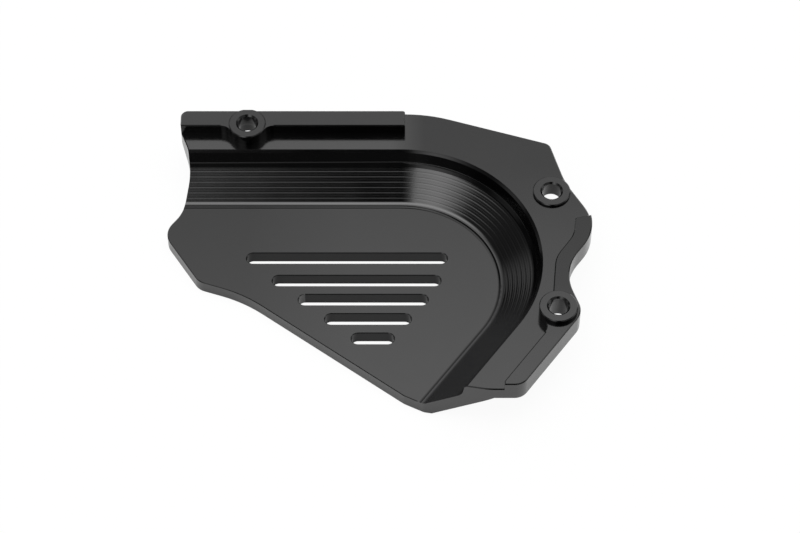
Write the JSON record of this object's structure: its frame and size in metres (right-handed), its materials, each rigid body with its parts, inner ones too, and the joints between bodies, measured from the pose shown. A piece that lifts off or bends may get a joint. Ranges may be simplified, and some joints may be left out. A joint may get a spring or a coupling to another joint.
{
  "type": "sprocket cover",
  "caption": "Milled front sprocket cover: a slotted panel in a ribbed, sloping pocket wall, with a flange, a raised rail and pad, and bossed bolt holes.",
  "frame": {"origin": "centre of the part's box in plan, on the outer face of the panel, which it lies on", "axes": "+Z out of the inner side, towards the engine; +X along the rail, away from the tail end; +Y towards the rail"},
  "size_m": [0.1454, 0.1176, 0.0231],
  "materials": {
    "anodised": "black anodised, satin, as milled"
  },
  "bodies": {
    "root": {"sprocket_cover": "anodised"}
  },
  "joints": []
}
